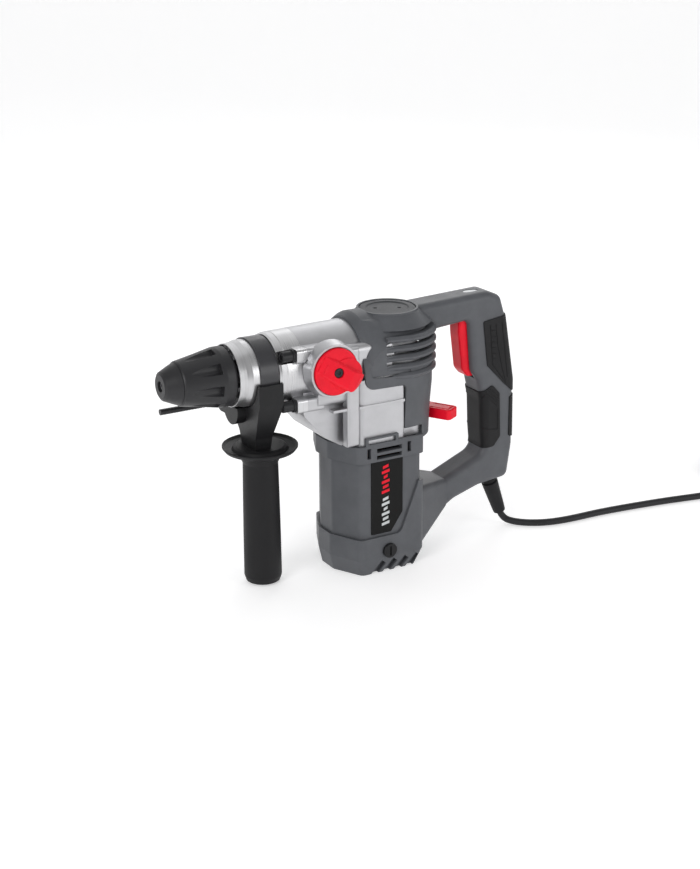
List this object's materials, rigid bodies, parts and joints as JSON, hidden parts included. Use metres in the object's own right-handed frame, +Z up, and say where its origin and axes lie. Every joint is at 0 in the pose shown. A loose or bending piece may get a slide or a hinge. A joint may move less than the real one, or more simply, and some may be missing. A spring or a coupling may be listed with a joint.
{
  "type": "rotary hammer",
  "caption": "Electric rotary hammer with vertical motor, D-handle, keyless chuck, mode knob, side handle with depth rod, and a coiled mains cord with plug.",
  "frame": {"origin": "centre of the flat foot under the motor, on the motor axis", "axes": "+X towards the D-handle (tool leaves along -X), +Z up, Y across; the shells part at Y = 0"},
  "size_m": [0.8555, 0.1345, 0.2684],
  "materials": {
    "grey_shell": "fine spark-eroded texture",
    "black_plastic": "fine moulded texture",
    "black_rubber": "soft-touch, satin",
    "cast_aluminium": "bead-blasted casting",
    "turned_aluminium": "fine turned",
    "red_plastic": "satin",
    "steel": "ground",
    "black_steel": "black oxide",
    "band_steel": "smooth black",
    "copper_winding": "varnished copper wire",
    "lamination": "varnished laminations",
    "carbon": "pressed graphite",
    "label": "printed plate, blank",
    "lens": "milky",
    "seal_rubber": "greased",
    "cord_rubber": "matte jacket",
    "brass": "plain",
    "plug_pin": "nickel plated"
  },
  "bodies": {
    "housing": {"gear_housing": "cast_aluminium", "barrel": "turned_aluminium", "barrel_screws": "black_steel", "bearing_plate": "cast_aluminium", "shaft_bearings": "steel", "spindle_bearings": "steel", "field_housing": "grey_shell", "side_plates": "label", "clamshell_near": "grey_shell", "clamshell_far": "grey_shell", "grip_pads": "black_rubber", "grease_cap": "grey_shell", "power_lens": "lens", "pivot_pins": "steel", "power_switch": "black_plastic", "stator_core": "lamination", "stator_coils": "copper_winding", "brush_holders": "black_plastic", "carbon_brushes": "carbon", "brush_caps": "black_plastic", "strain_relief": "black_rubber", "cord": "cord_rubber", "cord_coil": "cord_rubber", "cord_tail": "cord_rubber", "plug": "black_rubber", "plug_pins": "plug_pin"},
    "armature": {"armature_shaft": "steel", "armature_core": "lamination", "armature_windings": "copper_winding", "commutator": "brass", "cooling_fan": "black_plastic"},
    "crank": {"crankshaft": "steel", "crank_gear": "steel"},
    "layshaft": {"bevel_pinion_shaft": "steel", "layshaft_gear": "steel"},
    "spindle": {"tool_holder": "steel", "dust_cap": "black_rubber", "locking_balls": "steel", "hammer_cylinder": "steel", "spindle_gear": "steel", "sleeve_spring": "steel"},
    "chuck_sleeve": {"locking_sleeve": "black_plastic", "lock_ring": "steel"},
    "clutch": {"clutch_ring": "steel"},
    "beat": {"beat_piece": "steel"},
    "ram": {"striker": "steel", "striker_seal": "seal_rubber"},
    "air_piston": {"piston": "steel", "piston_pin": "steel", "piston_seal": "seal_rubber"},
    "rod": {"connecting_rod": "steel"},
    "knob": {"mode_knob": "red_plastic", "knob_screw": "black_steel"},
    "stop_lever": {"impact_stop_lever": "red_plastic"},
    "switch_trigger": {"trigger": "red_plastic"},
    "side_handle": {"clamp_band": "band_steel", "handle_bracket": "black_plastic", "clamp_bolt": "steel"},
    "grip": {"side_grip": "black_rubber"},
    "depth_stop": {"depth_rod": "black_steel"}
  },
  "joints": [
    {"name": "armature_spin", "type": "hinge", "parent": "housing", "child": "armature", "pos_m": [0, 0, 0.1], "axis": [0, 0, 1], "continuous": true},
    {"name": "crank_spin", "type": "hinge", "parent": "housing", "child": "crank", "pos_m": [0.025, 0, 0.18], "axis": [0, 0, 1], "continuous": true},
    {"name": "layshaft_spin", "type": "hinge", "parent": "housing", "child": "layshaft", "pos_m": [-0.022, 0, 0.18], "axis": [0, 0, 1], "continuous": true},
    {"name": "spindle_spin", "type": "hinge", "parent": "housing", "child": "spindle", "pos_m": [-0.15, 0, 0.222], "axis": [1, 0, 0], "continuous": true},
    {"name": "sleeve_slide", "type": "slide", "parent": "spindle", "child": "chuck_sleeve", "axis": [1, 0, 0], "range_m": [0, 0.009], "stiffness_N_per_m": 900, "springref_m": -0.006, "deforming": ["sleeve_spring"]},
    {"name": "beat_slide", "type": "slide", "parent": "spindle", "child": "beat", "axis": [1, 0, 0], "range_m": [-0.004, 0]},
    {"name": "striker_slide", "type": "slide", "parent": "spindle", "child": "ram", "axis": [1, 0, 0], "range_m": [-0.0078, 0.018]},
    {"name": "piston_slide", "type": "slide", "parent": "housing", "child": "air_piston", "axis": [1, 0, 0], "range_m": [0, 0.018]},
    {"name": "rod_swing", "type": "hinge", "parent": "air_piston", "child": "rod", "pos_m": [-0.042, 0, 0.222], "axis": [0, 0, 1], "range_deg": [-9, 9]},
    {"name": "knob_turn", "type": "hinge", "parent": "housing", "child": "knob", "pos_m": [-0.0627, -0.05, 0.2247], "axis": [0, 1, 0], "range_deg": [0, 90]},
    {"name": "clutch_shift", "type": "slide", "parent": "housing", "child": "clutch", "axis": [1, 0, 0], "range_m": [0, 0.0026]},
    {"name": "stop_lever_swing", "type": "hinge", "parent": "housing", "child": "stop_lever", "pos_m": [0.064, 0, 0.152], "axis": [0, 0, 1], "range_deg": [0, 120]},
    {"name": "trigger_pull", "type": "hinge", "parent": "housing", "child": "switch_trigger", "pos_m": [0.121, 0, 0.243], "axis": [0, -1, 0], "range_deg": [0, 8], "stiffness_Nm_per_rad": 1.2, "springref_deg": -5.73},
    {"name": "side_handle_swing", "type": "hinge", "parent": "housing", "child": "side_handle", "pos_m": [-0.1272, 0, 0.222], "axis": [1, 0, 0], "range_deg": [-90, 90]},
    {"name": "side_grip_turn", "type": "hinge", "parent": "side_handle", "child": "grip", "pos_m": [-0.1205, 0, 0.1], "axis": [0, 0, 1], "continuous": true},
    {"name": "depth_rod_slide", "type": "slide", "parent": "side_handle", "child": "depth_stop", "axis": [1, 0, 0], "range_m": [-0.03, 0]}
  ],
  "couplings": [
    {"joint": "crank_spin", "follows": "armature_spin", "ratio": -0.19048},
    {"joint": "layshaft_spin", "follows": "armature_spin", "ratio": -0.22222},
    {"joint": "spindle_spin", "follows": "armature_spin", "ratio": 0.05848},
    {"joint": "clutch_shift", "follows": "knob_turn", "m_per_rad": 0.0016552}
  ]
}
